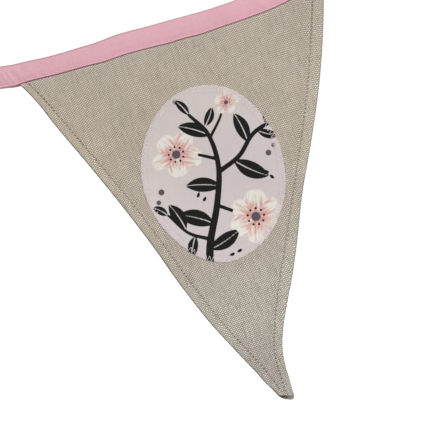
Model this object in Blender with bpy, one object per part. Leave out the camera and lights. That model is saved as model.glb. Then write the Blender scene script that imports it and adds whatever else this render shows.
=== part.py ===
"""One pennant of a fabric bunting: a hemmed linen triangle hanging from a folded cotton binding, with an
oval patch sewn to its front.

Metres, +Z up. The pennant faces -Y and the binding rises towards +X, as it hangs in a swag. The origin
is on the binding's fold, over the middle of the pennant.
"""

import math

import bpy
import numpy as np

MM = 0.001

# Linen pennant
LINEN_THICK = 1.2 * MM
HEM_THICK = 0.8 * MM
HEM_STEP = 0.5 * MM
EDGE_ROUND = 0.35 * MM
PENNANT_TILT = math.radians(18.0)
PENNANT_TOP = (2.5 * MM, -8.3 * MM)
PENNANT_LENGTH = 237.0 * MM
TIP_CORNER = 2.0 * MM
HEM_MOST_SHARE = 0.36
INNER_COLUMNS = 15
CORNER_ROWS = 4

# Cotton binding, folded in half over the pennant's top edge
LEAF_THICK = 1.0 * MM
BACK_LIP = 0.7 * MM
LEAF_ROUND = 0.25 * MM
FOLD_DEPTH = 1.5 * MM
TAIL_SLOT = 0.4 * MM
SLOT_PAST_CORNERS = (14.0 * MM, 9.0 * MM)
SLOT_CLOSES_OVER = 8.0 * MM
HEM_CROSSING = 4.0 * MM
HEM_ROOM = 15.0 * MM
STATION_STEP = 5.0 * MM
FOLD_STEPS = 6

# Oval patch
PATCH_CENTRE = (29.0 * MM, -95.0 * MM)
PATCH_HALF_HEIGHT = 54.8 * MM
PATCH_HALF_WIDTH = 44.3 * MM
PATCH_TILT = math.radians(12.3)
PATCH_THICK = 0.9 * MM
PATCH_RINGS = 7
PATCH_SPOKES = 60

GAP = 0.36 * MM
PATCH_GAP = 0.42 * MM
RAMP_BELOW_BINDING = 42.0 * MM
SLOPE_STEP = 0.5 * MM


def table(names, rows, scale=MM):
    """The rows as one array for each named column."""
    return {name: np.array(column) * scale for name, column in zip(names.split(), zip(*rows))}


# The binding's front lower edge and its width, a row for each stretch of the swag.
SWAG = table("x low width", [
    (-152.0, -47.3, 13.2),
    (-128.0, -45.1, 13.2),
    (-106.0, -42.4, 13.2),
    (-94.0, -40.5, 13.1),
    (-86.0, -38.0, 12.4),
    (-69.0, -33.9, 12.0),
    (-49.0, -28.4, 12.3),
    (-29.0, -22.3, 13.2),
    (-9.0, -16.6, 13.15),
    (11.0, -11.1, 13.25),
    (31.0, -5.2, 12.9),
    (50.0, 1.3, 13.0),
    (65.0, 7.0, 13.2),
    (77.0, 12.8, 13.2),
    (97.0, 23.6, 13.2),
    (122.0, 37.5, 13.2),
    (149.0, 53.4, 13.2),
])

# How far the binding swings behind the middle plane, level at both tails.
SWAY = table("x behind", [
    (-152.0, 0.0),
    (-104.0, 0.0),
    (-58.0, -1.0),
    (0.0, 0.0),
    (50.0, -0.8),
    (106.0, 0.0),
    (149.0, 0.0),
])

# The pennant's sides, measured off its middle line, and the width of each hem.
SIDES = table("depth left right left_hem right_hem", [
    (-11.4, -108.0, 103.9, 4.2, 7.4),
    (0.0, -100.0, 100.3, 4.5, 7.4),
    (15.0, -92.6, 95.2, 4.9, 7.3),
    (30.0, -86.7, 89.8, 5.3, 7.1),
    (60.0, -74.7, 77.4, 5.9, 6.4),
    (90.0, -63.0, 62.8, 6.1, 6.3),
    (120.0, -52.3, 47.3, 6.3, 6.5),
    (150.0, -42.5, 33.1, 6.6, 6.7),
    (165.0, -37.4, 25.7, 6.7, 6.8),
    (180.0, -31.8, 18.0, 6.8, 6.6),
    (195.0, -25.2, 10.4, 6.7, 6.2),
    (207.0, -19.4, 5.6, 6.4, 5.6),
    (216.0, -15.0, 4.0, 5.9, 5.0),
    (226.0, -10.3, 3.7, 4.8, 4.4),
    (237.0, -5.0, 3.1, 4.0, 4.0),
])

# Soft folds of the pennant: where each lies, its half width and half length, how far it lifts towards
# the front, and how far sideways its line leans in a metre's run.
FOLDS = table("across depth wide long lift lean", [
    (-68.0, 66.0, 8.0, 85.0, 1.1, 380.0),
    (-48.0, 26.0, 16.0, 30.0, -1.2, -250.0),
    (72.0, 44.0, 10.0, 34.0, -1.0, -400.0),
    (66.0, 78.0, 7.0, 60.0, 1.0, -440.0),
    (10.0, 84.0, 46.0, 60.0, 1.3, 0.0),
    (-16.0, 160.0, 14.0, 34.0, 1.2, 140.0),
    (6.0, 192.0, 9.0, 22.0, -1.4, -280.0),
])

# The tip's last stretch comes forward and its right side more than its left. The other folds die out
# before its end.
TIP_CURL_FROM = 200.0 * MM
TIP_CURL = 5.0 * MM
TIP_CURL_POWER = 2.2
TIP_TWIST = 0.22
TIP_SMOOTHS = 1.25

# Unevenness of the oval's outline: direction in degrees anticlockwise from the right, spread, swelling.
OVAL_WOBBLE = table("direction spread swell", [
    (262.0, 16.0, 0.018),
    (222.0, 20.0, -0.022),
    (176.0, 18.0, 0.012),
    (62.0, 12.0, 0.010),
    (32.0, 12.0, -0.010),
], scale=1.0)


def along(rows, by, name, where):
    """A smooth curve through a table's column, whose slope at each row comes from the rows beside it."""
    knots, values = rows[by], rows[name]
    slopes = np.gradient(values, knots)
    where = np.clip(where, knots[0], knots[-1])
    i = np.clip(np.searchsorted(knots, where, side="right") - 1, 0, len(knots) - 2)
    step = knots[i + 1] - knots[i]
    t = (where - knots[i]) / step
    return (
        (1 + 2 * t) * (1 - t) ** 2 * values[i]
        + t * (1 - t) ** 2 * step * slopes[i]
        + t * t * (3 - 2 * t) * values[i + 1]
        + t * t * (t - 1) * step * slopes[i + 1]
    )


def smooth_step(value):
    value = np.clip(value, 0.0, 1.0)
    return value * value * (3.0 - 2.0 * value)


def binding_slope(x):
    low = along(SWAG, "x", "low", x + SLOPE_STEP) - along(SWAG, "x", "low", x - SLOPE_STEP)
    return np.arctan2(low, 2.0 * SLOPE_STEP)


def on_binding(x, below_fold):
    """World x and z of a point on the section at x, measured down from the fold, square to the swag."""
    angle = binding_slope(x)
    rise = along(SWAG, "x", "width", x) - below_fold
    return x - rise * np.sin(angle), along(SWAG, "x", "low", x) + rise * np.cos(angle)


def to_world(across, depth):
    """World x and z of a place given in the pennant's own directions."""
    x = PENNANT_TOP[0] + across * math.cos(PENNANT_TILT) + depth * math.sin(PENNANT_TILT)
    z = PENNANT_TOP[1] + across * math.sin(PENNANT_TILT) - depth * math.cos(PENNANT_TILT)
    return x, z


def to_pennant(x, z):
    x, z = x - PENNANT_TOP[0], z - PENNANT_TOP[1]
    across = x * math.cos(PENNANT_TILT) + z * math.sin(PENNANT_TILT)
    return across, x * math.sin(PENNANT_TILT) - z * math.cos(PENNANT_TILT)


def drape(x, z):
    """How far the linen's middle lies behind the middle plane: the binding's swing, the folds, the tip."""
    across, depth = to_pennant(x, z)
    below = (along(SWAG, "x", "low", x) - z) * np.cos(binding_slope(x))
    lift = np.zeros_like(x)
    for fold_across, fold_depth, wide, long, height, lean in zip(*FOLDS.values()):
        down = depth - fold_depth
        side = (across - fold_across - lean * down) / wide
        lift += height * np.exp(-0.5 * (side * side + (down / long) ** 2))
    curl = np.clip((depth - TIP_CURL_FROM) / (PENNANT_LENGTH - TIP_CURL_FROM), 0.0, 1.2)
    lift = lift * (1.0 - smooth_step(TIP_SMOOTHS * curl)) + TIP_CURL * curl**TIP_CURL_POWER
    middle = 0.5 * (along(SIDES, "depth", "left", depth) + along(SIDES, "depth", "right", depth))
    lift += TIP_TWIST * (across - middle) * smooth_step(curl)
    return along(SWAY, "x", "behind", x) - smooth_step(below / RAMP_BELOW_BINDING) * lift


def raised(x, z, behind):
    """Points at a distance behind the linen's middle, square to it."""
    slope_x = (drape(x + SLOPE_STEP, z) - drape(x - SLOPE_STEP, z)) / (2.0 * SLOPE_STEP)
    slope_z = (drape(x, z + SLOPE_STEP) - drape(x, z - SLOPE_STEP)) / (2.0 * SLOPE_STEP)
    normal = np.stack([-slope_x, np.ones_like(slope_x), -slope_z], axis=-1)
    normal /= np.linalg.norm(normal, axis=-1, keepdims=True)
    return np.stack([x, drape(x, z), z], axis=-1) + normal * np.asarray(behind)[..., None]


def pennant_rows():
    """Depths of the grid's rows: close under the binding, at the curl, and round the tip's corners."""
    corner = PENNANT_LENGTH - TIP_CORNER
    runs = ((SIDES["depth"][0], 0.0, 4), (0.0, TIP_CURL_FROM, 29), (TIP_CURL_FROM, corner, 11))
    straight = [np.linspace(first, last, steps, endpoint=False) for first, last, steps in runs]
    turn = np.linspace(0.0, 0.5 * math.pi, CORNER_ROWS)
    return np.concatenate([*straight, corner + TIP_CORNER * np.sin(turn)])


def pennant_grid():
    """World x and z of the linen's grid and the share of hem under each point.

    A row runs from side to side. Its columns are each side, both lines of each hem's step, and the
    cloth between them. The top row follows the binding, and that bend dies out down the pennant.
    """
    depth = pennant_rows()
    past = np.clip((depth - PENNANT_LENGTH + TIP_CORNER) / TIP_CORNER, 0.0, 1.0)
    inset = EDGE_ROUND + TIP_CORNER * (1.0 - np.sqrt(1.0 - past * past))
    left = along(SIDES, "depth", "left", depth) + inset
    right = along(SIDES, "depth", "right", depth) - inset
    most = HEM_MOST_SHARE * (right - left)
    left_hem = np.minimum(along(SIDES, "depth", "left_hem", depth), most)
    right_hem = np.minimum(along(SIDES, "depth", "right_hem", depth), most)
    step = np.minimum(HEM_STEP, 0.1 * (right - left))
    inner_left, inner_right = left + left_hem + step, right - right_hem - step
    share = np.linspace(0.0, 1.0, INNER_COLUMNS)
    inner = inner_left[:, None] + (inner_right - inner_left)[:, None] * share
    across = np.column_stack([left, left + left_hem, inner, right - right_hem, right])
    hem = np.zeros(across.shape[1])
    hem[[0, 1, -2, -1]] = 1.0

    x, z = to_world(across, depth[:, None])
    u = (across[0] - left[0]) / (right[0] - left[0])
    top_x = x[0, 0] + (x[0, -1] - x[0, 0]) * u
    rise = along(SWAG, "x", "width", top_x) - FOLD_DEPTH - EDGE_ROUND - 2.0 * GAP
    top_z = along(SWAG, "x", "low", top_x) + rise / np.cos(binding_slope(top_x))
    corners = (top_z[0] - z[0, 0]) * (1.0 - u) + (top_z[-1] - z[0, -1]) * u
    swag_fade = (1.0 - (depth - depth[0]) / (PENNANT_LENGTH - depth[0])) ** 3
    corner_fade = np.clip(depth / depth[0], 0.0, 1.0)
    z = z + swag_fade[:, None] * (top_z - z[0] - corners) + corner_fade[:, None] * corners
    return x, z, np.broadcast_to(hem, x.shape)


def add_object(name, points, faces, color, roughness):
    """A closed mesh with the colour and roughness of its cloth."""
    mesh = bpy.data.meshes.new(name)
    mesh.from_pydata(points.tolist(), [], faces)
    mesh.validate()
    mesh.shade_smooth()
    mesh.set_sharp_from_angle(angle=math.radians(40.0))
    material = bpy.data.materials.new(name)
    material.use_nodes = True
    shader = material.node_tree.nodes["Principled BSDF"]
    shader.inputs["Base Color"].default_value = (*color, 1.0)
    shader.inputs["Roughness"].default_value = roughness
    shader.inputs["Metallic"].default_value = 0.0
    mesh.materials.append(material)
    thing = bpy.data.objects.new(name, mesh)
    bpy.context.scene.collection.objects.link(thing)
    return thing


def quads(first, second):
    """Faces between two loops of point numbers, each closed on itself."""
    return np.stack([first, second, np.roll(second, -1), np.roll(first, -1)], axis=1).tolist()


def linen_pennant():
    """Front and back skins of the pennant, joined round the outline by a rounded edge."""
    x, z, hem = pennant_grid()
    half = 0.5 * LINEN_THICK
    front = raised(x, z, np.full(x.shape, -half))
    back = raised(x, z, half + HEM_THICK * hem)
    rows, columns = x.shape
    number = np.arange(rows * columns).reshape(rows, columns)
    a, b = number[:-1, :-1].ravel(), number[1:, :-1].ravel()
    c, d = number[1:, 1:].ravel(), number[:-1, 1:].ravel()
    loop = np.concatenate([number[:, 0], number[-1, 1:], number[-2::-1, -1], number[0, -2:0:-1]])

    outline = np.stack([x.ravel()[loop], z.ravel()[loop]], axis=1)
    forward = np.roll(outline, -1, axis=0) - np.roll(outline, 1, axis=0)
    forward *= EDGE_ROUND / np.linalg.norm(forward, axis=1, keepdims=True)
    rim_x, rim_z = outline[:, 0] + forward[:, 1], outline[:, 1] - forward[:, 0]
    rim = raised(rim_x, rim_z, 0.5 * HEM_THICK * hem.ravel()[loop])

    count = rows * columns
    points = np.concatenate([front.reshape(-1, 3), back.reshape(-1, 3), rim])
    skin = np.stack([a, b, c, d], axis=1)
    edge = 2 * count + np.arange(len(loop))
    faces = skin.tolist() + (skin[:, ::-1] + count).tolist()
    faces += quads(loop, edge) + quads(edge, loop + count)
    return add_object("linen_pennant", points, faces, (0.45, 0.39, 0.31), 0.9)


def binding_profile(x):
    """Closed section of the binding at x, as distances below the fold and behind the middle plane."""
    left, right = (to_world(SIDES[side][1], 0.0)[0] for side in ("left", "right"))
    inside = min(x - left + SLOT_PAST_CORNERS[0], right + SLOT_PAST_CORNERS[1] - x)
    open_share = smooth_step(1.0 + inside / SLOT_CLOSES_OVER)
    from_hem = min(abs(x - left - HEM_CROSSING), abs(x - right + HEM_CROSSING))
    over_hem = smooth_step(1.0 - (from_hem - HEM_ROOM) / SLOT_CLOSES_OVER)
    open_half = 0.5 * LINEN_THICK + GAP
    front = -(0.5 * TAIL_SLOT + (open_half - 0.5 * TAIL_SLOT) * open_share)
    back = -front + HEM_THICK * over_hem * open_share
    width = along(SWAG, "x", "width", x)
    outer_front, outer_back = front - LEAF_THICK, back + LEAF_THICK
    middle, reach = 0.5 * (outer_front + outer_back), 0.5 * (outer_back - outer_front)
    turn = np.linspace(0.0, math.pi, FOLD_STEPS + 1)
    fold = [(FOLD_DEPTH * (1.0 - math.sin(t)), middle - reach * math.cos(t)) for t in turn]
    front_foot = [(width - LEAF_ROUND, front), (width, front - LEAF_ROUND)]
    front_foot += [(width, outer_front + LEAF_ROUND), (width - LEAF_ROUND, outer_front)]
    low = width + BACK_LIP
    back_foot = [(low - LEAF_ROUND, outer_back), (low, outer_back - LEAF_ROUND)]
    back_foot += [(low, back + LEAF_ROUND), (low - LEAF_ROUND, back)]
    slot_top = [(FOLD_DEPTH, back), (FOLD_DEPTH, front)]
    return np.array(front_foot + fold + back_foot + slot_top)


def cotton_binding():
    """The folded section carried along the swag, its two tails ended square."""
    first, last = SWAG["x"][0], SWAG["x"][-1]
    fine = np.linspace(first, last, 2000)
    run = np.cumsum(np.hypot(np.gradient(fine), np.gradient(along(SWAG, "x", "low", fine))))
    steps = int(round((run[-1] - run[0]) / STATION_STEP))
    stations = np.interp(np.linspace(run[0], run[-1], steps + 1), run, fine)
    rings = []
    for x in stations:
        below, behind = binding_profile(x).T
        world_x, world_z = on_binding(np.full(len(below), x), below)
        rings.append(np.stack([world_x, behind + along(SWAY, "x", "behind", world_x), world_z], 1))
    points = np.concatenate(rings)
    size = len(rings[0])
    number = np.arange(len(points)).reshape(-1, size)
    faces = []
    for before, after in zip(number[:-1], number[1:]):
        faces += quads(before, after)
    faces += [number[0].tolist(), number[-1][::-1].tolist()]
    return add_object("cotton_binding", points, faces, (0.70, 0.40, 0.46), 0.85)


def oval_outline(turn):
    """Reach of the oval in a direction, as a share of the true ellipse."""
    reach = np.ones_like(turn)
    degrees = np.degrees(turn)
    for direction, spread, swell in zip(*OVAL_WOBBLE.values()):
        off = (degrees - direction + 180.0) % 360.0 - 180.0
        reach += swell * np.exp(-0.5 * (off / spread) ** 2)
    return reach


def oval_patch():
    """A round-edged oval lying on the linen's front and following its folds."""
    turn = np.linspace(0.0, 2.0 * math.pi, PATCH_SPOKES, endpoint=False)
    wide = PATCH_HALF_WIDTH * np.cos(turn) * oval_outline(turn)
    high = PATCH_HALF_HEIGHT * np.sin(turn) * oval_outline(turn)
    share = np.linspace(0.0, 1.0, PATCH_RINGS + 1)[1:, None]

    def place(scale):
        a, b = wide * scale, high * scale
        x = PATCH_CENTRE[0] + a * math.cos(PATCH_TILT) - b * math.sin(PATCH_TILT)
        return x, PATCH_CENTRE[1] + a * math.sin(PATCH_TILT) + b * math.cos(PATCH_TILT)

    x, z = place(share)
    x, z = np.append(x.ravel(), PATCH_CENTRE[0]), np.append(z.ravel(), PATCH_CENTRE[1])
    near = -(0.5 * LINEN_THICK + PATCH_GAP)
    back = raised(x, z, np.full(x.shape, near))
    front = raised(x, z, np.full(x.shape, near - PATCH_THICK))
    rim = raised(*place(1.0 + EDGE_ROUND / PATCH_HALF_WIDTH), np.full(turn.shape, near - 0.5 * PATCH_THICK))
    count = len(x)
    ring = np.arange(count - 1).reshape(PATCH_RINGS, PATCH_SPOKES)
    middle = count - 1
    skin = []
    for inner, outer in zip(ring[:-1], ring[1:]):
        skin += quads(inner, outer)
    skin += [[middle, a, b] for a, b in zip(ring[0].tolist(), np.roll(ring[0], -1).tolist())]
    faces = skin + [[corner + count for corner in reversed(face)] for face in skin]
    edge = 2 * count + np.arange(PATCH_SPOKES)
    faces += quads(ring[-1], edge) + quads(edge, ring[-1] + count)
    return add_object("oval_patch", np.concatenate([front, back, rim]), faces, (0.60, 0.50, 0.50), 0.85)


def main():
    for thing in list(bpy.data.objects):
        bpy.data.objects.remove(thing, do_unlink=True)
    linen_pennant()
    cotton_binding()
    oval_patch()


main()
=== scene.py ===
import math

import bpy
import numpy as np
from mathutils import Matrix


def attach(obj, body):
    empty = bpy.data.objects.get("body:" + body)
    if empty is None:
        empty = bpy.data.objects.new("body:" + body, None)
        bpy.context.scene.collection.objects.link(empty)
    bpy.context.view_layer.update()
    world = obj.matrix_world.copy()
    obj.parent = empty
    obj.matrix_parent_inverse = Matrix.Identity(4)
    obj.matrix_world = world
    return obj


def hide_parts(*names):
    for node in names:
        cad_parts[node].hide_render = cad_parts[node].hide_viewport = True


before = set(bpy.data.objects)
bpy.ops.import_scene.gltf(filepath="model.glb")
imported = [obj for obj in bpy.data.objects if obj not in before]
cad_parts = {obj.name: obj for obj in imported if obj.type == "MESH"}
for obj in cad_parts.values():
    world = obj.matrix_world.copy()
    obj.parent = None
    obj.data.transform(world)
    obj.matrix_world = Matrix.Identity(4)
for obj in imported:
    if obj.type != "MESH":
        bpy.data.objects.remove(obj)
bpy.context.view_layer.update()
mm = 0.001
print("bunting: frame loaded")


def rowsOf(names, rows, scale=mm):
    # one array for each named column
    return {name: np.array(column) * scale for name, column in zip(names.split(), zip(*rows))}


def softStep(value):
    value = np.clip(value, 0.0, 1.0)
    return value * value * (3.0 - 2.0 * value)


def bell(value):
    return np.exp(-(value**2))


def steps(low, high, number):
    # evenly spaced from low up to high, without high itself
    return np.linspace(low, high, number, endpoint=False)


def stacked(*columns):
    return np.stack(columns, axis=-1)


def unit(vectors):
    return vectors / np.linalg.norm(vectors, axis=-1, keepdims=True)


def turned(a, b, angle):
    # a point's places along two directions that are turned by an angle
    c, s = math.cos(angle), math.sin(angle)
    return a * c + b * s, b * c - a * s


def runOf(a, b):
    # length along a line of points, from its first
    return np.concatenate([[0.0], np.cumsum(np.hypot(np.diff(a), np.diff(b)))])


def along(rows, by, name, where):
    # cubic through a column's points, with the slope at each point taken from its neighbours
    knots, values = rows[by], rows[name]
    slopes = np.gradient(values, knots)
    where = np.clip(where, knots[0], knots[-1])
    i = np.clip(np.searchsorted(knots, where, side="right") - 1, 0, len(knots) - 2)
    step = knots[i + 1] - knots[i]
    t = (where - knots[i]) / step
    value = (1 + 2 * t) * (1 - t) ** 2 * values[i] + t * (1 - t) ** 2 * step * slopes[i]
    return value + t * t * (3 - 2 * t) * values[i + 1] + t * t * (t - 1) * step * slopes[i + 1]


# The swag that everything hangs from: the binding's lower edge, its width and how far it swings behind.
swag = rowsOf("x low width", [
    (-152.0, -47.3, 13.2), (-128.0, -45.1, 13.2), (-106.0, -42.4, 13.2), (-94.0, -40.5, 13.1),
    (-86.0, -38.0, 12.4), (-69.0, -33.9, 12.0), (-49.0, -28.4, 12.3), (-38.0, -25.55, 12.88),
    (-29.0, -22.3, 13.2), (-9.0, -16.6, 13.15), (1.0, -14.18, 13.52), (11.0, -11.1, 13.25),
    (21.0, -8.69, 13.52), (31.0, -5.2, 12.9), (50.0, 1.3, 13.0), (65.0, 7.0, 13.2),
    (77.0, 12.8, 13.2), (97.0, 23.6, 13.2), (122.0, 37.5, 13.2), (149.0, 53.4, 13.2),
])
sway = rowsOf("x behind", [
    (-152.0, 0.0), (-104.0, 0.0), (-58.0, -1.0), (0.0, 0.0), (50.0, -0.8), (106.0, 0.0), (149.0, 0.0),
])


def swagLow(x):
    return along(swag, "x", "low", x)


def swagWidth(x):
    return along(swag, "x", "width", x)


def swayAt(x):
    return along(sway, "x", "behind", x)


def swagSlope(x):
    return np.arctan2(swagLow(x + 0.5 * mm) - swagLow(x - 0.5 * mm), mm)


def onSwag(x, belowFold):
    # x and z of a point of the section at x, measured down from the fold and square to the swag
    angle = swagSlope(x)
    rise = swagWidth(x) - belowFold
    return x - rise * np.sin(angle), swagLow(x) + rise * np.cos(angle)


def belowBinding(x, z):
    # how far a point lies below the binding's lower edge, square to it
    return (swagLow(x) - z) * np.cos(swagSlope(x))


# Sewing thread. Each stitch is a round tube along its own short arc.
thread = {
    "radius": 0.15 * mm,
    "sides": 6,
    "pitch": 2.5 * mm,
    "hemUneven": 0.06,
    "bindingUneven": 0.05,
    "slant": 0.10 * mm,
    "dive": 0.42 * mm,
    "seamGap": 0.06,
    "zigzagPitch": 1.3 * mm,
    "zigzagGap": 0.04,
    "zigzagDive": 0.3 * mm,
    "zigzagSlant": 0.12 * mm,
    "zigzagPast": -0.3 * mm,
}
stitchShare = np.array([0.0, 0.07, 0.2, 0.4, 0.6, 0.8, 0.93, 1.0])

# The linen pennant. Its sides and hems are measured off its own middle line.
linen = {
    "tilt": math.radians(18.0),
    "top": (2.5 * mm, -8.3 * mm),
    "length": 237.0 * mm,
    "underBinding": 2.57 * mm,
    "fallsFrom": 42.0 * mm,
    "cloth": 0.5 * mm,
    "frontAt": -0.34 * mm,
    "layerStep": 0.54 * mm,
    "hemMost": 0.36,
    "foldPastSeam": 1.3 * mm,
    "foldMost": 0.47,
    "rawFromEdge": 1.3 * mm,
    "tipCorner": 2.0 * mm,
    "tipOpensFrom": 224.0 * mm,
    "tipOpensBy": 1.1 * mm,
    "tipPast": 1.5 * mm,
    "tipLean": 0.31,
    "lapFrom": 222.0 * mm,
    "lapShare": 0.86,
    "curlFrom": 200.0 * mm,
    "curl": 5.0 * mm,
    "twist": 0.22,
    "hemRise": 0.12 * mm,
    "seamSink": 0.07 * mm,
    "seamBand": 1.3 * mm,
    "furrow": 0.55 * mm,
    "pucker": 0.10 * mm,
    "ripplePitch": 5.3 * mm,
    "rippleReach": 2.6 * mm,
    "uneven": 0.16 * mm,
    "cutFrom": 14.0 * mm,
    "cutWave": 0.25 * mm,
    "cutWaveFrom": 5.0 * mm,
    "fieldColumns": 104,
    "upperRows": 168,
    "tipRows": 54,
    # of the section's columns, counted from either end: which are the front, and how many mm of each
    # the level cut at the tip takes off
    "isFront": [(21, 0.0), (29, 1.0), (-30, 1.0), (-22, 0.0)],
    "cutShort": [
        (0, 4.0), (7, 4.0), (8, 0.2), (21, 0.2), (28, 2.7), (-29, 2.7), (-22, 0.2), (-13, 0.2),
        (-9, 3.5), (-5, 3.5), (-4, 0.2),
    ],
}
sides = rowsOf("depth left right leftHem rightHem", [
    (-11.4, -108.0, 103.9, 5.0, 7.6), (0.0, -100.0, 100.3, 5.4, 7.6), (15.0, -92.25, 95.2, 5.55, 7.7),
    (30.0, -86.7, 89.8, 6.2, 8.0), (60.0, -74.5, 77.4, 6.3, 7.9), (90.0, -62.85, 62.7, 6.55, 7.2),
    (120.0, -52.2, 46.95, 6.3, 6.55), (150.0, -42.8, 33.45, 6.7, 7.95), (165.0, -37.65, 26.15, 6.85, 8.35),
    (180.0, -31.8, 18.2, 6.7, 7.4), (195.0, -24.9, 10.5, 6.2, 6.2), (207.0, -19.3, 5.95, 6.1, 5.45),
    (216.0, -15.0, 4.3, 5.8, 4.9), (226.0, -10.65, 3.9, 5.15, 4.6), (237.0, -5.6, 3.5, 4.6, 4.4),
])
# Soft folds: place, half width and half length, lift towards the front, sideways lean in mm a metre.
folds = rowsOf("across depth wide long lift lean", [
    (-68.0, 66.0, 8.0, 85.0, 1.1, 380.0), (-48.0, 26.0, 16.0, 30.0, -1.2, -250.0),
    (72.0, 44.0, 10.0, 34.0, -1.0, -400.0), (66.0, 78.0, 7.0, 60.0, 1.0, -440.0),
    (10.0, 84.0, 46.0, 60.0, 1.3, 0.0), (-16.0, 160.0, 14.0, 34.0, 1.2, 140.0),
    (6.0, 192.0, 9.0, 22.0, -1.4, -280.0),
])


def sideAt(name, depth):
    return along(sides, "depth", name, depth)


def hemAt(side, depth, whole):
    # from the side in to the hem's stitches, limited to a share of the whole width near the tip
    return np.minimum(sideAt(side + "Hem", depth), linen["hemMost"] * whole)


def toWorld(across, depth):
    x, z = turned(across, -depth, -linen["tilt"])
    return linen["top"][0] + x, linen["top"][1] + z


def toPennant(x, z):
    across, up = turned(x - linen["top"][0], z - linen["top"][1], linen["tilt"])
    return across, -up


def pennantPlace(across, depth):
    # world x and z: the flat triangle, with its upper rows bent to the swag and its corners drawn in
    first = sides["depth"][0]
    left, right = sideAt("left", depth), sideAt("right", depth)
    u = (across - left) / (right - left)
    leftTop, rightTop = sides["left"][0], sides["right"][0]

    def lack(share):
        x, z = toWorld(leftTop + (rightTop - leftTop) * share, first)
        return swagLow(x) + (swagWidth(x) - linen["underBinding"]) / np.cos(swagSlope(x)) - z

    corners = lack(np.zeros(1))[0] * (1.0 - u) + lack(np.ones(1))[0] * u
    fade = np.clip(1.0 - (depth - first) / (linen["length"] - first), 0.0, 1.0) ** 3
    x, z = toWorld(across, depth)
    return x, z + fade * (lack(u) - corners) + np.clip(depth / first, 0.0, 1.0) * corners


def drape(x, z):
    # how far the linen's middle lies behind the middle plane: sway less the sum of soft folds,
    # where each fold is its lift times exp of minus half the squared distance, and the tip's curl
    across, depth = toPennant(x, z)
    lift = np.zeros_like(x)
    for foldAcross, foldDepth, wide, long, height, lean in zip(*folds.values()):
        down = depth - foldDepth
        side = (across - foldAcross - lean * down) / wide
        lift += height * np.exp(-0.5 * (side * side + (down / long) ** 2))
    curl = np.clip((depth - linen["curlFrom"]) / (linen["length"] - linen["curlFrom"]), 0.0, 1.2)
    lift = lift * (1.0 - softStep(1.25 * curl)) + linen["curl"] * curl**2.2
    middle = 0.5 * (sideAt("left", depth) + sideAt("right", depth))
    lift += linen["twist"] * (across - middle) * softStep(curl)
    return swayAt(x) - softStep(belowBinding(x, z) / linen["fallsFrom"]) * lift


def clothNormal(x, z):
    h = 0.5 * mm
    slopeX = (drape(x + h, z) - drape(x - h, z)) / (2 * h)
    slopeZ = (drape(x, z + h) - drape(x, z - h)) / (2 * h)
    return unit(stacked(-slopeX, np.ones_like(slopeX), -slopeZ))


def offCloth(x, z, behind):
    # a point at a distance behind the linen's middle, square to it
    return stacked(x, drape(x, z), z) + clothNormal(x, z) * np.asarray(behind)[..., None]


def onLinen(across, depth, behind):
    return offCloth(*pennantPlace(across, depth), behind)


def tipShare(depth, start):
    # 0 above a named place near the tip, eased to 1 at the tip's end
    return softStep((depth - linen[start]) / (linen["length"] - linen[start]))


def stitchEnds(seed, uneven, most):
    # where the stitches of a seam end, each a little longer or shorter than the pitch
    random = np.random.default_rng(seed)
    ends = np.cumsum(thread["pitch"] * (1.0 + uneven * random.standard_normal(400)))
    return np.concatenate([[0.0], ends[ends < most]])


def makeSeam(side, seed):
    # the hem's stitch line down one side, the length along it and where its stitches end
    depth = np.linspace(sides["depth"][0], linen["length"] - 2.0 * mm, 1200)
    hem = hemAt(side, depth, sideAt("right", depth) - sideAt("left", depth))
    across = sideAt(side, depth) + hem * (1.0 if side == "left" else -1.0)
    length = runOf(across, depth)
    ends = stitchEnds(seed, thread["hemUneven"], length[-1] - 0.5 * thread["pitch"])
    return {"depth": depth, "across": across, "length": length, "ends": ends}


seams = {"left": makeSeam("left", 3), "right": makeSeam("right", 4)}


def seamAt(side, depth):
    # how far along the stitch line a depth is, as a count of stitches and as a length
    seam = seams[side]
    length = np.interp(depth, seam["depth"], seam["length"])
    number = len(seam["ends"])
    return np.interp(length, seam["ends"], np.arange(number), right=number - 0.5), length


def stitchPull(count):
    # how hard the thread draws the cloth in: most at the needle holes, which are at whole counts
    return 0.7 + 0.3 * np.cos(2 * np.pi * count)


def hemRelief(across, depth):
    # front relief, positive behind: a raised hem, a furrow along the stitches with ripples across it,
    # and long waves of a few sines
    left, right = sideAt("left", depth), sideAt("right", depth)
    relief = np.zeros_like(across)
    for side, reach in (("left", across - left), ("right", right - across)):
        away = reach - hemAt(side, depth, right - left)
        count, length = seamAt(side, depth)
        relief -= linen["hemRise"] * softStep((0.9 * mm - away) / (1.8 * mm))
        relief += linen["seamSink"] * stitchPull(count) * bell(away / linen["furrow"])
        wave = np.sin(2 * np.pi * length / linen["ripplePitch"] + 2.0 * np.sin(length / (17.0 * mm)))
        swell = 0.5 + 0.5 * np.sin(length / (23.0 * mm) + 1.0)
        relief += linen["pucker"] * swell * wave * bell(away / linen["rippleReach"])
    a, d = across / mm, depth / mm
    broad = np.sin(a / 9.0 + 1.4 * np.sin(d / 21.0)) * np.sin(d / 13.0 + a / 31.0)
    broad += 0.6 * np.sin(a / 5.1 - d / 17.0 + 2.0) * np.sin(d / 29.0 + 0.7)
    return relief + linen["uneven"] * broad * softStep((depth + 4.0 * mm) / (25.0 * mm))


def linenFace(across, depth, side):
    # the front (side -1) or back (side 1) face of the single cloth
    return linen["frontAt"] + hemRelief(across, depth) + side * 0.5 * linen["cloth"]


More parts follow.
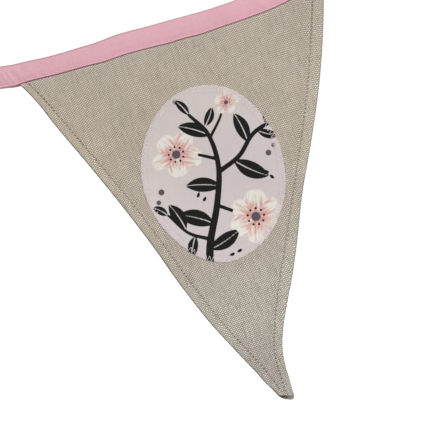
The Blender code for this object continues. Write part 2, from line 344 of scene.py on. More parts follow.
def newMesh(name, points, faces, material, attributes=None, flat=None):
    # attributes and unrolled places that are given for one skin are repeated on the next
    points = np.reshape(points, (-1, 3))
    mesh = bpy.data.meshes.new(name)
    mesh.from_pydata(points.tolist(), [], faces)
    mesh.polygons.foreach_set("use_smooth", np.ones(len(mesh.polygons), bool))
    for title, values in (attributes or {}).items():
        kind, field, wide = ("FLOAT_VECTOR", "vector", 3) if values.ndim > 1 else ("FLOAT", "value", 1)
        layer = mesh.attributes.new(title, kind, "POINT")
        layer.data.foreach_set(field, np.resize(values, len(points) * wide).astype(np.float32))
    if flat is not None:
        corner = np.zeros(len(mesh.loops), np.int32)
        mesh.loops.foreach_get("vertex_index", corner)
        flat = np.resize(flat / mm, (len(points), 2)).astype(np.float32)
        mesh.uv_layers.new(name="cloth").data.foreach_set("uv", flat[corner].ravel())
    mesh.set_sharp_from_angle(angle=math.radians(55.0))
    mesh.materials.append(material)
    piece = bpy.data.objects.new(name, mesh)
    bpy.context.scene.collection.objects.link(piece)
    return piece


def sheetFaces(rows, columns):
    # two equal skins, the second facing the other way, closed round their four sides
    number = np.arange(rows * columns).reshape(rows, columns)
    skin = stacked(number[:-1, :-1], number[1:, :-1], number[1:, 1:], number[:-1, 1:])
    skin = skin.reshape(-1, 4)
    loop = np.concatenate([number[:, 0], number[-1, 1:], number[-2::-1, -1], number[0, -2:0:-1]])
    after = np.roll(loop, -1)
    rim = stacked(loop, loop + number.size, after + number.size, after)
    return np.concatenate([skin, skin[:, ::-1] + number.size, rim]).tolist()


def sectionOf(a, b):
    # direction of a section line at each of its points, and the length along it
    move = stacked(np.gradient(a, axis=1), np.gradient(b, axis=1))
    return unit(move), np.cumsum(np.linalg.norm(move, axis=-1), axis=1)


def overColumns(columns, knots):
    # straight between (column, value) knots, where a negative column is counted from the end
    places, values = zip(*[(place % columns, value) for place, value in knots])
    return np.interp(np.arange(columns), places, values)


def makeLinen(material):
    # Section: a line carried down the pennant. It starts at the hem's raw edge inside the hem, runs
    # inwards, turns back on itself, runs out along the back, turns round the pennant's side and crosses
    # the front to the same on the other side. Both skins are that line moved half the cloth's thickness.
    length, cloth, step = linen["length"], linen["cloth"], linen["layerStep"]
    depth = np.concatenate([
        steps(sides["depth"][0], linen["curlFrom"], linen["upperRows"]),
        np.linspace(linen["curlFrom"], length, linen["tipRows"]),
    ])[:, None]
    opening = tipShare(depth, "tipOpensFrom")
    past = np.clip((depth - length + linen["tipCorner"]) / linen["tipCorner"], 0.0, 1.0)
    inset = 0.8 * linen["tipCorner"] * (1.0 - np.sqrt(1.0 - past * past))
    left, right = sideAt("left", depth) + inset, sideAt("right", depth) - inset
    whole = right - left
    front = linen["frontAt"] - linen["tipOpensBy"] * opening
    inner = linen["frontAt"] + step * (1.0 + 0.4 * opening)
    outer = inner + step * (1.0 + 0.2 * opening)
    small, large = 0.5 * (outer - inner), 0.5 * (outer - front)
    hems = {side: hemAt(side, depth, whole) for side in ("left", "right")}
    most = linen["foldMost"] * whole
    deep = {side: np.minimum(hem + linen["foldPastSeam"], most) for side, hem in hems.items()}
    deep["right"] += (linen["lapShare"] * whole - deep["right"]) * tipShare(depth, "lapFrom")

    def sideLine(side):
        # inwards from the side, and behind; where the hems meet at the tip, the right one climbs
        # over the left one
        def climb(reach):
            over = softStep((reach - whole + deep["left"] + 0.6 * mm) / (1.2 * mm))
            return 2.2 * step * over * (side == "right")

        turn, bend = deep[side] - small - 0.5 * cloth, 0.5 * cloth + large
        inside = linen["rawFromEdge"] + (turn - linen["rawFromEdge"]) * steps(0.0, 1.0, 8)
        outside = turn + (bend - turn) * steps(0.0, 1.0, 8)
        a, b = steps(-0.5, 0.5, 5) * np.pi, steps(0.5, 1.5, 8) * np.pi
        band = np.minimum(linen["seamBand"], 0.12 * whole)
        near = bend + (hems[side] - band - bend) * steps(0.0, 1.0, 4)
        seam = hems[side] + band * np.linspace(-1.0, 1.0, 11)
        return [np.concatenate(line, axis=1) for line in zip(
            (inside, inner + climb(inside)),
            (turn + small * np.cos(a), 0.5 * (inner + outer) + climb(turn) + small * np.sin(a)),
            (outside, outer + climb(outside)),
            (bend + large * np.cos(b), 0.5 * (front + outer) + large * np.sin(b)),
            (near, front + 0 * near),
            (seam, front + 0 * seam),
        )]

    leftIn, leftBack = sideLine("left")
    rightIn, rightBack = sideLine("right")
    a, b = left + leftIn, right - rightIn[:, ::-1]
    field = a[:, -1:] + (b[:, :1] - a[:, -1:]) * np.linspace(0.0, 1.0, linen["fieldColumns"])[1:-1]
    across = np.concatenate([a, field, b], axis=1)
    behind = np.concatenate([leftBack, front + 0 * field, rightBack[:, ::-1]], axis=1)
    rows, columns = across.shape
    isFront = overColumns(columns, linen["isFront"])
    spread = np.broadcast_to(depth, across.shape)
    behind = behind + isFront * hemRelief(across, spread)

    # the tip is cut level: its front ends above its back, and the left hem's inner layer above both
    def fromEnd(reach):
        return softStep((depth - length + reach) / reach)

    wavy = linen["cutWave"] * np.sin(across / (1.1 * mm)) * fromEnd(linen["cutWaveFrom"])
    lean = linen["tipPast"] + linen["tipLean"] * across
    down = spread + wavy + fromEnd(linen["cutFrom"]) * (lean - overColumns(columns, linen["cutShort"]) * mm)
    tangent, unrolled = sectionOf(across, behind)
    skins = [
        onLinen(across - half * tangent[..., 1], down, behind + half * tangent[..., 0])
        for half in (-0.5 * cloth, 0.5 * cloth)
    ]
    middle = slice(columns // 2, columns // 2 + 1)
    flat = stacked(unrolled + (across - unrolled)[:, middle], down)

    leftAway, rightAway = across - left - hems["left"], right - across - hems["right"]
    onLeft = np.abs(leftAway) < np.abs(rightAway)
    count = np.where(onLeft, seamAt("left", down)[0], seamAt("right", down)[0])
    away = np.where(onLeft, leftAway, rightAway)
    edge = np.minimum(across - left, right - across)
    # the shadow in the open tip: inner layers just past the front's end, stronger towards the left
    pastFront = (down - length - lean) / mm + 2.7
    slot = softStep(2.5 * pastFront) * softStep(2.6 - 2.2 * pastFront) * (1.0 - isFront)
    slot = slot * (0.35 + 0.65 * softStep((1.0 * mm - across) / (4.0 * mm)))
    below = belowBinding(*pennantPlace(across, down)) / mm
    facing = [np.clip(-sign * tangent[..., 0], 0.0, 1.0) for sign in (-1.0, 1.0)]
    attributes = {
        "seam": stacked(count, away / mm, edge / mm),
        "shade": np.stack([stacked(slot * share, below, 0.0 * below) for share in facing]),
    }
    return newMesh("linenPennant", skins, sheetFaces(rows, columns), material, attributes, flat)


# The cotton binding: one strip folded in half over the pennant's top edge, its long edges turned in.
binding = {
    "cloth": 0.38 * mm,
    "air": 0.04 * mm,
    "backLip": 0.7 * mm,
    "tailLip": 0.1 * mm,
    "drop": 0.3 * mm,
    "foldDepth": 1.5 * mm,
    "turnIn": 6.5 * mm,
    "stitchUp": 1.45 * mm,
    "seamSink": 0.08 * mm,
    "tight": 0.03 * mm,
    "tightOver": 0.62 * mm,
    "loose": 0.95 * mm,
    "looseOver": 0.76 * mm,
    "looseFrom": 2.6 * mm,
    "looseRise": 6.0 * mm,
    "opensPast": (14.0 * mm, 9.0 * mm),
    "fade": 8.0 * mm,
    "hemIn": 4.0 * mm,
    "hemReach": 15.0 * mm,
    "hemPush": 0.8 * mm,
    "ripple": 0.05 * mm,
    "wave": 0.07 * mm,
    "station": 1.0 * mm,
    "closedEnd": 1.2 * mm,
    "creases": [
        (48.4, 0.9, 0.50), (51.6, 1.1, 0.70), (55.2, 1.2, 0.45), (62.0, 2.2, 0.28), (70.0, 2.0, 0.22),
        (118.0, 1.6, 0.10), (196.0, 2.4, 0.12), (218.0, 2.0, 0.24), (244.0, 1.8, 0.14),
    ],
}
pennantCorners = [float(toWorld(sides[name][1], 0.0)[0]) for name in ("left", "right")]
swagX = np.linspace(swag["x"][0], swag["x"][-1], 3000)
swagRun = runOf(swagX, swagLow(swagX))
bindingEnds = stitchEnds(8, thread["bindingUneven"], swagRun[-1])


def bindingFaces(x, below):
    # middle of the outer layer, front and back, as distance behind the middle plane; then the count of
    # stitches and the height over the stitch line. It is tight at the stitches and loose above them.
    width, (left, right), opens = swagWidth(x), pennantCorners, binding["opensPast"]
    opened = softStep(1.0 + np.minimum(x - left + opens[0], right + opens[1] - x) / binding["fade"])
    nearHem = np.minimum(np.abs(x - left - binding["hemIn"]), np.abs(x - right + binding["hemIn"]))
    overHem = softStep(1.0 - (nearHem - binding["hemReach"]) / binding["fade"]) * opened
    tight = binding["tight"] + binding["tightOver"] * opened + 1.5 * binding["cloth"] + binding["air"]
    loose = binding["loose"] + binding["looseOver"] * opened
    rise = softStep((width - binding["looseFrom"] - below) / binding["looseRise"])
    reach = tight + (loose - tight) * rise
    run = np.interp(x, swagX, swagRun)
    count = np.interp(run, bindingEnds, np.arange(len(bindingEnds)))
    seam = width - binding["stitchUp"] - below
    sink = binding["seamSink"] * stitchPull(count) * bell(seam / (0.5 * mm))
    r, h = run / mm, below / mm
    ripple = np.sin(2 * np.pi * r / 5.1 + 1.7 * np.sin(r / 19.0)) * bell(seam / (2.2 * mm))
    broad = np.sin(r / 7.0 + h / 3.2 + 1.5 * np.sin(r / 33.0)) * (0.5 + 0.5 * np.sin(r / 41.0 + 0.6))
    between = np.sin(np.pi * np.clip(below / width, 0, 1))
    wave = binding["ripple"] * ripple + binding["wave"] * broad * between
    for place, wide, size in binding["creases"]:
        wave = wave + size * mm * between * bell((r - place - 0.55 * (h - 6.0)) / wide)
    back = reach + binding["hemPush"] * overHem - sink + 0.6 * wave
    return -(reach - sink + wave), back, count, seam


def makeBinding(material):
    # Section: from the front's turned-in raw edge down inside the leaf, round its lower edge, up the
    # front, over the half-ellipse of the fold, down the back, round and up inside again.
    cloth, air = binding["cloth"], binding["air"]
    small, top = 0.5 * (cloth + air), 0.5 * cloth
    whole = swagRun[-1]
    closing = np.array([0.15, 0.4, 0.7]) * mm
    run = np.linspace(0.0, whole, int(round(whole / binding["station"])) + 1)
    run = np.unique(np.concatenate([run, closing, whole - closing]))
    x = np.interp(run, swagRun, swagX)[:, None]
    width = swagWidth(x)
    inPennant = np.minimum(x - pennantCorners[0], pennantCorners[1] - x)
    overPennant = softStep(1.0 + inPennant / binding["fade"])
    backLip = binding["tailLip"] + (binding["backLip"] - binding["tailLip"]) * overPennant
    a = steps(0.0, 1.0, 6) * np.pi
    leaves = []
    for side, sign in ((0, -1.0), (1, 1.0)):
        low = width + binding["drop"] + side * backLip - top - small
        inner = low - binding["turnIn"] * (1.0 - steps(0.0, 1.0, 6))
        nearFoot = low - 2.6 * mm * np.linspace(0.0, 1.0, 10)
        start = nearFoot[:, -1:]
        above = start - (start - binding["foldDepth"]) * np.linspace(0.0, 1.0, 14)[1:]
        outer = np.concatenate([nearFoot, above], axis=1)
        leaves.append([
            (inner, bindingFaces(x, inner)[side] - sign * (cloth + air)),
            (low + small * np.sin(a), bindingFaces(x, low)[side] - sign * small * (1.0 + np.cos(a))),
            (outer, bindingFaces(x, outer)[side]),
        ])
    frontTop, backTop = (leaf[-1][1][:, -1:] for leaf in leaves)
    middle, reach = 0.5 * (frontTop + backTop), 0.5 * (backTop - frontTop)
    a = np.linspace(0.0, np.pi, 13)[1:-1]
    fold = (top + (binding["foldDepth"] - top) * (1.0 - np.sin(a)) + 0 * x, middle - reach * np.cos(a))
    lines = leaves[0] + [fold] + [(h[:, ::-1], b[:, ::-1]) for h, b in leaves[1][::-1]]
    below, behind = (np.concatenate(line, axis=1) for line in zip(*lines))
    rows, columns = below.shape
    insideLeaf = overColumns(columns, [(8, 1.0), (9, 0.0), (-10, 0.0), (-9, 1.0)])
    onBack = np.arange(columns) >= columns // 2 + 1

    tangent, unrolled = sectionOf(below, behind)
    q = np.clip(np.minimum(run, whole - run) / binding["closedEnd"], 0.0, 1.0)[:, None]
    close = 0.3 + 0.7 * np.sqrt(1.0 - (1.0 - q) ** 2)
    middle = 0.5 * (behind.min(1, keepdims=True) + behind.max(1, keepdims=True))
    leafEnd = width + binding["drop"] + backLip * onBack
    edge = np.minimum(below, leafEnd - below) + 9.0 * mm * insideLeaf
    skins = []
    for half in (-0.5 * cloth, 0.5 * cloth):
        worldX, worldZ = onSwag(x, below + half * tangent[..., 1])
        y = middle + (behind - half * tangent[..., 0] - middle) * close + swayAt(worldX)
        skins.append(stacked(worldX, y, worldZ))
    count, away = bindingFaces(np.broadcast_to(x, below.shape), below)[2:]
    attributes = {"seam": stacked(count, away / mm, edge / mm)}
    flat = stacked(np.broadcast_to(run[:, None], below.shape), unrolled)
    return newMesh("cottonBinding", skins, sheetFaces(rows, columns), material, attributes, flat)


# The oval patch, and what is printed on it. Its places are in mm from its middle, up its own long axis.
patch = {
    "centre": (29.0 * mm, -95.0 * mm),
    "halfHeight": 54.8 * mm,
    "halfWidth": 44.3 * mm,
    "tilt": math.radians(12.3),
    "cloth": 0.42 * mm,
    "offLinen": 0.03 * mm,
    "puff": 0.42 * mm,
    "puffFrom": 2.0 * mm,
    "puffOver": 16.0 * mm,
    "border": 3.5 * mm,
    "cutWave": 0.14 * mm,
    "rings": 78,
    "spokes": 460,
}
wobble = rowsOf("direction spread swell", [
    (262.0, 17.0, 0.026), (222.0, 20.0, -0.022), (176.0, 18.0, 0.012), (135.0, 20.0, -0.007),
    (62.0, 12.0, 0.010), (32.0, 12.0, -0.010),
], 1.0)


def ovalPlace(turn, inwards):
    # a point of the oval: the ellipse times 1 plus the swellings, moved in by a distance; in its own mm
    reach = np.ones_like(turn)
    for direction, spread, swell in zip(*wobble.values()):
        off = (np.degrees(turn) - direction + 180.0) % 360.0 - 180.0
        reach = reach + swell * np.exp(-0.5 * (off / spread) ** 2)
    a = patch["halfWidth"] * np.cos(turn) * reach
    b = patch["halfHeight"] * np.sin(turn) * reach
    share = 1.0 - inwards / np.hypot(a, b)
    return a * share, b * share


def fromOval(a, b):
    x, z = turned(a, b, -patch["tilt"])
    return patch["centre"][0] + x, patch["centre"][1] + z


def patchBehind(x, z, inwards):
    # front face of the patch: the linen's front, less its cloth, puffed inside the sewn border
    rise = patch["puff"] * softStep((inwards - patch["puffFrom"]) / patch["puffOver"])
    rim = 0.05 * mm * bell((inwards - patch["border"] - 0.6 * mm) / (0.9 * mm))
    edge = 0.12 * mm * softStep(1.0 - inwards / (0.5 * mm))
    a = np.arctan2(z - patch["centre"][1], x - patch["centre"][0])
    ripple = 0.05 * mm * np.sin(31.0 * a + 2.0 * np.sin(5.0 * a)) * bell((inwards - 4.0 * mm) / (3.0 * mm))
    lift = patch["offLinen"] + patch["cloth"] + rise + rim - edge + ripple
    return linenFace(*toPennant(x, z), -1.0) - lift


def leafAway(a, b, place, angle, length, width, rib=0.0):
    # signed distance to a pointed leaf, the overlap of two circles; its rib is taken out
    u, v = turned(a - place[0], b - place[1], math.radians(angle))
    u = u - 0.5 * length
    radius = (length**2 + width**2) / (4.0 * width)
    v = v + 0.10 * width * (1.0 - (2.0 * u / length) ** 2)
    away = np.hypot(u, np.abs(v) + radius - 0.5 * width) - radius
    if rib:
        away = np.maximum(away, rib - np.abs(v) - 0.25 * np.clip(u + 0.15 * length, 0, 99) / length)
    return away


def stemAway(a, b, points, widths):
    # distance to a smooth line through the points, less a half width that tapers along it
    points = np.array(points, float)
    t = np.linspace(0.0, len(points) - 1.0, 12 * (len(points) - 1) + 1)
    knots = np.arange(len(points), dtype=float)
    line = [along({"k": knots, "v": points[:, i]}, "k", "v", t) for i in (0, 1)]
    half = np.interp(t, [0, t[-1]], widths) * 0.5
    best = np.full(a.shape, 99.0)
    for i in range(len(t) - 1):
        du, dv = line[0][i + 1] - line[0][i], line[1][i + 1] - line[1][i]
        share = ((a - line[0][i]) * du + (b - line[1][i]) * dv) / (du * du + dv * dv)
        share = np.clip(share, 0.0, 1.0)
        far = np.hypot(a - line[0][i] - share * du, b - line[1][i] - share * dv)
        best = np.minimum(best, far - half[i] - share * (half[i + 1] - half[i]))
    return best


# A flowering branch: stems (points, widths), leaves (place, angle, length, width), dashes (place, angle),
# blooms (place, reach, first petal's angle, petals), berries (place, reach).
printed = {
    "stems": [
        (((-15, -60), (-11, -42), (-2, -20), (4, 3), (2, 24), (-7, 38)), (5.2, 2.0)),
        (((-10, -40), (-23, -33), (-33, -20)), (2.4, 1.3)),
        (((-2, -20), (9, -27), (16, -33)), (2.4, 1.4)),
        (((4, 0), (18, 7), (30, 19), (49, 26)), (3.0, 2.4)),
        (((4, 8), (-7, 13), (-15, 15)), (2.2, 1.3)),
        (((3, 22), (11, 32), (16, 41)), (1.9, 1.1)),
    ],
    "leaves": [
        ((-6, -31), -206, 23, 10.0), ((-12, -46), 22, 22, 9.0), ((-24, -31), 112, 19, 8.5),
        ((3, -9), 168, 22, 9.0), ((8, -26), 14, 15, 6.5), ((14, 5), -36, 24, 10.0),
        ((25, 14), 104, 20, 8.5), ((32, 20), -26, 14, 5.5), ((38, 23), 74, 15, 6.0),
        ((3, 23), 152, 21, 8.5), ((1, 29), 58, 13, 5.6), ((-7, 38), 122, 13, 5.2),
        ((-33, -20), 140, 11, 5.0), ((-19, -36), -112, 14, 6.5),
    ],
    "leafRib": 0.34,
    "dashes": [
        ((31, -5), -38), ((34, -8.5), -52), ((-1, -52), 12), ((4, -51), 20), ((-13, -13), 60),
        ((-10, -16), 48),
    ],
    "dashSize": (3.6, 1.9),
    "blooms": [((20, -32), 17.0, 20, 6), ((-20, 16), 15.5, 50, 5), ((17, 41), 8.0, 80, 5)],
    "dotsRound": 9,
    "berries": [((-34, -5), 1.9), ((-37, -11), 1.5), ((36, 5), 1.8), ((40, 9), 1.4), ((-14, 48), 1.6)],
}


def printOn(a, b):
    # signed distances in mm to what is black, to the petals and to what is violet, and the place within
    # the nearest petal: across it and out along it
    def apart(place, reach):
        return np.hypot(a - place[0], b - place[1]) - reach

    black = np.min(
        [stemAway(a, b, *stem) for stem in printed["stems"]]
        + [leafAway(a, b, *leaf, printed["leafRib"]) for leaf in printed["leaves"]]
        + [leafAway(a, b, *dash, *printed["dashSize"]) for dash in printed["dashes"]], axis=0,
    )
    violet = np.min([apart(*berry) for berry in printed["berries"]], axis=0)
    petals, side, far = np.full(a.shape, 99.0), np.zeros(a.shape), np.zeros(a.shape)
    for index, (place, reach, start, number) in enumerate(printed["blooms"]):
        black = np.maximum(black, 1.0 - apart(place, 0.80 * reach))
        for k in range(number):
            u, v = turned(a - place[0], b - place[1], math.radians(start + 360.0 * k / number))
            long = reach * (0.52 + 0.05 * math.sin(3.1 * k + index))
            wide = 0.40 * reach * (1.0 + 0.12 * math.sin(2.3 * k))
            notch = 0.05 * reach * bell(v / (0.14 * reach)) * (u > long)
            away = (np.hypot((u - long) / long, v / wide) - 1.0) * wide + notch
            nearer = away < petals
            petals = np.where(nearer, away, petals)
            side = np.where(nearer, v / wide + 3.0 * k, side)
            far = np.where(nearer, u / (2.0 * long), far)
        violet = np.minimum(violet, apart(place, 0.17 * reach))
        for k in range(printed["dotsRound"]):
            angle = math.radians(360.0 / printed["dotsRound"] * k + 11.0 * index)
            dot = (place[0] + 0.30 * reach * math.cos(angle), place[1] + 0.30 * reach * math.sin(angle))
            black = np.minimum(black, apart(dot, 0.045 * reach))
    return black, petals, violet, stacked(side, far, 0 * far)


def makePatch(material):
    # Rings of the oval from its middle to its cut edge, laid on the linen's front
    rings, spokes = patch["rings"], patch["spokes"]
    turn = steps(0.0, 2.0 * np.pi, spokes)[None, :]
    share = np.linspace(0.0, 1.0, rings + 1)[1:, None] ** 0.9
    wavy = patch["cutWave"] * (np.sin(61.0 * turn + 3.0 * np.sin(7.0 * turn)) + 0.6 * np.sin(147.0 * turn))
    edgeA, edgeB = ovalPlace(turn, 0.1 * mm + wavy)
    inwards = np.hypot(edgeA, edgeB) * (1.0 - share)
    hubIn = patch["halfWidth"] - 0.3 * mm
    grids = ((edgeA * share, 0.0), (edgeB * share, 0.0), (inwards, hubIn))
    a, b, inwards = (np.append(grid.ravel(), hub) for grid, hub in grids)
    x, z = fromOval(a, b)
    face = patchBehind(x, z, inwards)
    edgeThin = patch["cloth"] * (1.0 - 0.35 * softStep(1.0 - inwards / (0.4 * mm)))
    skins = [offCloth(x, z, face), offCloth(x, z, face + edgeThin)]
    count = rings * spokes + 1
    number = np.arange(rings * spokes).reshape(rings, spokes)
    after = np.roll(number, -1, axis=1)
    skin = stacked(number[:-1], number[1:], after[1:], after[:-1]).reshape(-1, 4)
    hub = stacked(np.full(spokes, count - 1), number[0], after[0])
    rim = stacked(number[-1], number[-1] + count, after[-1] + count, after[-1])
    faces = skin.tolist() + hub.tolist() + (skin[:, ::-1] + count).tolist()
    faces += (hub[:, ::-1] + count).tolist() + rim.tolist()
    titles = ("blackAway", "petalAway", "violetAway", "bloom")
    attributes = {"edgeIn": inwards / mm, **dict(zip(titles, printOn(a / mm, b / mm)))}
    return newMesh("ovalPatch", skins, faces, material, attributes, stacked(a, b))


def makeThreads(name, centre, normal, material):
    # Circle carried along each line: centre plus radius times cosine of up and sine of across
    tangent = unit(np.gradient(centre, axis=1))
    across = unit(np.cross(tangent, normal))
    up = np.cross(across, tangent)
    angle = steps(0.0, 2.0 * np.pi, thread["sides"])
    c, s = np.cos(angle)[:, None], np.sin(angle)[:, None]
    points = centre[:, :, None] + thread["radius"] * (c * up[:, :, None] + s * across[:, :, None])
    shape = points.shape[:3]
    index = np.arange(np.prod(shape)).reshape(shape)
    after = np.roll(index, -1, axis=2)
    quads = stacked(index[:, :-1], index[:, 1:], after[:, 1:], after[:, :-1])
    faces = quads.reshape(-1, 4).tolist() + index[:, 0].tolist() + index[:, -1, ::-1].tolist()
    length = np.cumsum(np.linalg.norm(np.diff(centre, axis=1, prepend=centre[:, :1]), axis=-1), axis=1)
    length = length / mm + np.arange(shape[0])[:, None] * 0.37
    lay = [np.broadcast_to(part, shape) for part in (np.cos(angle), np.sin(angle), length[:, :, None])]
    return newMesh(name, points, faces, material, {"lay": np.stack(lay, axis=-1)})


def stitchSpots(ends, gap):
    # places along each stitch, with a gap at both of its ends
    start, end = ends[:-1, None], ends[1:, None]
    return start + (end - start) * (gap + (1.0 - 2.0 * gap) * stitchShare)


def arc(high, dive=thread["dive"]):
    # height of a stitch over the cloth: dives at both ends and lies nearly flat between
    return (high - (high + dive) * (1.0 - np.sin(np.pi * stitchShare)) ** 4)[None, :]


def hemStitches(side, back):
    seam = seams[side]
    spot = stitchSpots(seam["ends"], thread["seamGap"])
    depth, across = (np.interp(spot, seam["length"], seam[name]) for name in ("depth", "across"))
    slant = np.random.default_rng(11 if back else 12).standard_normal((len(spot), 1))
    across = across + thread["slant"] * slant * (stitchShare[None, :] - 0.5)
    lift = arc(0.55 * thread["radius"])
    opening = tipShare(depth, "tipOpensFrom")
    if back:
        behind = linen["frontAt"] + linen["layerStep"] * (2.0 + 0.6 * opening) + 0.5 * linen["cloth"] + lift
    else:
        behind = linenFace(across, depth, -1.0) - lift - linen["tipOpensBy"] * opening
    normal = clothNormal(*pennantPlace(across, depth))
    return onLinen(across, depth, behind), normal * (1.0 if back else -1.0)


def bindingStitches(back):
    x = np.interp(stitchSpots(bindingEnds, thread["seamGap"]), swagRun, swagX)
    below = swagWidth(x) - binding["stitchUp"]
    side = 1.0 if back else -1.0
    lift = 0.5 * binding["cloth"] + arc(0.5 * thread["radius"])
    behind = bindingFaces(x, below)[int(back)] + side * lift
    worldX, worldZ = onSwag(x, below)
    centre = stacked(worldX, behind + swayAt(worldX), worldZ)
    return centre, np.broadcast_to(np.array([0.0, side, 0.0]), centre.shape)


def zigzag(back):
    # stitches that step round the oval, in turn from its cut edge to the border's inner line
    fine = np.linspace(0.0, 2.0 * np.pi, 4000)
    length = runOf(*ovalPlace(fine, 0.5 * patch["border"]))
    number = 2 * int(round(length[-1] / (2.0 * thread["zigzagPitch"])))
    turn = np.interp(np.linspace(0.0, length[-1], number + 1), length, fine)
    random = np.random.default_rng(5)
    inner = patch["border"] + thread["zigzagSlant"] * random.standard_normal(number + 1)
    into = np.where(np.arange(number + 1) % 2 == 0, thread["zigzagPast"], inner)
    inwards = stitchSpots(into, thread["zigzagGap"])
    x, z = fromOval(*ovalPlace(stitchSpots(turn, 0.0), inwards))
    across, depth = toPennant(x, z)
    lift = arc(0.6 * thread["radius"], thread["zigzagDive"])
    if back:
        behind = linenFace(across, depth, 1.0) + lift
    else:
        onPatch = softStep((inwards + 0.15 * mm) / (0.3 * mm))
        linenAt = linenFace(across, depth, -1.0)
        behind = linenAt + (patchBehind(x, z, np.maximum(inwards, 0.0)) - linenAt) * onPatch - lift
    return offCloth(x, z, behind), clothNormal(x, z) * (1.0 if back else -1.0)


class Value:
    # one output of a shader node, so that materials can be written as formulas
    def __init__(self, socket):
        self.socket = socket
        self.tree = socket.id_data

    def __add__(self, other):
        return calc("ADD", self, other)

    def __sub__(self, other):
        return calc("SUBTRACT", self, other)

    def __rsub__(self, other):
        return calc("SUBTRACT", other, self)

    def __mul__(self, other):
        return calc("MULTIPLY", self, other)

    def __truediv__(self, other):
        return calc("DIVIDE", self, other)


def put(tree, kind, inputs=(), **settings):
    # a node, with its inputs in order or by name; plain colours are given as three numbers
    made = tree.nodes.new(kind)
    for name, value in settings.items():
        setattr(made, name, value)
    for key, value in inputs.items() if isinstance(inputs, dict) else enumerate(inputs):
        socket = made.inputs[key]
        if isinstance(value, Value):
            tree.links.new(value.socket, socket)
        else:
            socket.default_value = (*value, 1.0) if socket.type == "RGBA" else value
    return made


def valuesOf(made):
    return {socket.name: Value(socket) for socket in made.outputs}


def calc(operation, *values):
    tree = next(value.tree for value in values if isinstance(value, Value))
    return Value(put(tree, "ShaderNodeMath", values, operation=operation).outputs[0])


def ramp(value, low, high):
    # 0 at low to 1 at high, eased at both ends
    made = put(value.tree, "ShaderNodeMapRange", (value, low, high), interpolation_type="SMOOTHSTEP")
    return Value(made.outputs[0])


def mix(share, a, b, how="MIX"):
    # from colour a at share 0 to colour b at share 1, or for MULTIPLY to the product of both
    tree = next(value.tree for value in (share, a, b) if isinstance(value, Value))
    made = put(tree, "ShaderNodeMix", {0: share, 6: a, 7: b}, data_type="RGBA", blend_type=how)
    return Value(made.outputs[2])


def tint(share, color, by):
    # a colour multiplied by another, as far as share says
    return mix(share, color, by, "MULTIPLY")


def lit(color, light):
    # a colour made lighter or darker by a number
    return tint(1.0, color, vector(light, light, light))


def noise(at, scale, detail=2.0, rough=0.5, kind="3D"):
    inputs = {"Vector": at, "Scale": scale, "Detail": detail, "Roughness": rough}
    return valuesOf(put(at.tree, "ShaderNodeTexNoise", inputs, noise_dimensions=kind))


def vector(x, y, z=0.0):
    return Value(put(x.tree, "ShaderNodeCombineXYZ", (x, y, z)).outputs[0])


def parts(value):
    return [Value(socket) for socket in put(value.tree, "ShaderNodeSeparateXYZ", (value,)).outputs]


def read(tree, kind, output, **settings):
    # one output of a new node
    return Value(put(tree, kind, **settings).outputs[output])


def attribute(tree, name, output="Vector"):
    return read(tree, "ShaderNodeAttribute", output, attribute_name=name)


def clothUv(tree):
    return read(tree, "ShaderNodeUVMap", "UV", uv_map="cloth")


def use(tree, group, inputs):
    return valuesOf(put(tree, "ShaderNodeGroup", inputs, node_tree=group))


def newGroup(name, inputs, outputs):
    # a group whose inputs are numbers, or vectors where None is given; its outputs are all numbers
    tree = bpy.data.node_groups.new(name, "ShaderNodeTree")
    for title, value in inputs.items():
        kind = "NodeSocketVector" if value is None else "NodeSocketFloat"
        socket = tree.interface.new_socket(title, in_out="INPUT", socket_type=kind)
        if value is not None:
            socket.default_value = value
    for title in outputs.split():
        tree.interface.new_socket(title, in_out="OUTPUT", socket_type="NodeSocketFloat")
    return tree, valuesOf(tree.nodes.new("NodeGroupInput"))


def weaveGroup():
    # Plain weave in mm: u and v count threads; a cell's warp lies over its weft where the product of
    # sin(pi u) and sin(pi v) is positive. A thread's height is the arch across it, less where it dips.
    inputs = {"Vector": None, "Warp Pitch": 0.9, "Weft Pitch": 0.75, "Wander": 0.5, "Slub Length": 14.0}
    tree, given = newGroup("plain weave", inputs, "Height Over Gap Tone Tint")
    slub = given["Slub Length"]
    x, y, _ = parts(given["Vector"])
    driftX, driftY, _ = parts(noise(given["Vector"], 0.045, 1.0)["Color"])
    x, y = x + (driftX - 0.5) * given["Wander"], y + (driftY - 0.5) * given["Wander"]
    u, v = x / given["Warp Pitch"], y / given["Weft Pitch"]
    sinU, sinV = (calc("SINE", count * math.pi) for count in (u, v))
    over = ramp(sinU * sinV, -0.3, 0.3)
    archU, archV = calc("ABSOLUTE", sinU), calc("ABSOLUTE", sinV)
    heights = [
        calc("POWER", mine, 0.7) * (top * other * 0.65 + 0.35)
        for mine, other, top in ((archU, archV, over), (archV, archU, 1.0 - over))
    ]
    height = calc("MAXIMUM", *heights)
    warp = noise(vector(calc("FLOOR", u) * 5.73, y / slub), 1.0, 2.0, 0.6, "2D")
    weft = noise(vector(x / slub, calc("FLOOR", v) * 7.31), 1.0, 2.0, 0.6, "2D")
    put(tree, "NodeGroupOutput", {
        "Height": height, "Over": over, "Gap": 1.0 - ramp(height, 0.08, 0.42),
        "Tone": weft["Fac"] + (warp["Fac"] - weft["Fac"]) * over,
        "Tint": parts(mix(over, weft["Color"], warp["Color"]))[1],
    })
    return tree


def holeGroup():
    # Needle holes: 1 within a small ellipse round each whole stitch count on the seam
    tree, given = newGroup("needle holes", {"Seam": None, "Pitch": 2.5, "Size": 0.3}, "Hole Pull")
    count, away, _ = parts(given["Seam"])
    step = calc("PINGPONG", count, 0.5) * given["Pitch"]
    far = calc("SQRT", step * step + away * away)
    put(tree, "NodeGroupOutput", {
        "Hole": 1.0 - ramp(far / given["Size"], 0.5, 1.3),
        "Pull": 1.0 - ramp(calc("ABSOLUTE", away), 0.1, 0.9),
    })
    return tree


